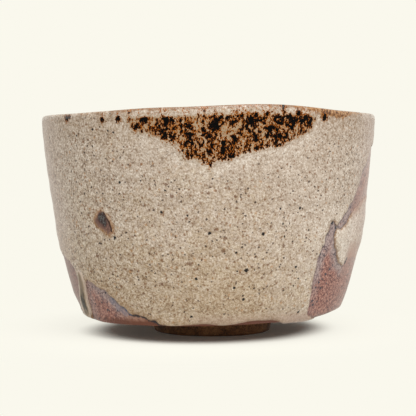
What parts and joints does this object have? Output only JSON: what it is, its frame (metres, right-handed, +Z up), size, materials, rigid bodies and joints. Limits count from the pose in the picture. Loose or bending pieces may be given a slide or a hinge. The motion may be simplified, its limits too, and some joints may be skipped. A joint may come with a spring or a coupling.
{
  "type": "tea bowl",
  "caption": "Thrown stoneware tea bowl with flared straight wall, trimmed waist and low foot ring, in granular pale glaze with bare finger marks and an iron splash under the lip.",
  "frame": {"origin": "on the table, below the centre of the rim", "axes": "+Z up out of the bowl, -Y towards the viewer and the splash, +X to the viewer's right"},
  "size_m": [0.12, 0.1203, 0.0785],
  "materials": {
    "clay": "matte",
    "foot_clay": "matte",
    "iron_slip": "satin",
    "outer_glaze": "satin",
    "lip_glaze": "gloss",
    "inner_glaze": "satin",
    "run_glass": "gloss",
    "splash_iron": "gloss",
    "spot_iron": "satin"
  },
  "bodies": {
    "root": {"clay_body": "clay", "foot_ring": "foot_clay", "iron_slip": "iron_slip", "outer_glaze": "outer_glaze", "lip_glaze": "lip_glaze", "inner_glaze": "inner_glaze", "glaze_run": "run_glass", "iron_splash": "splash_iron", "iron_spots": "spot_iron"}
  },
  "joints": []
}
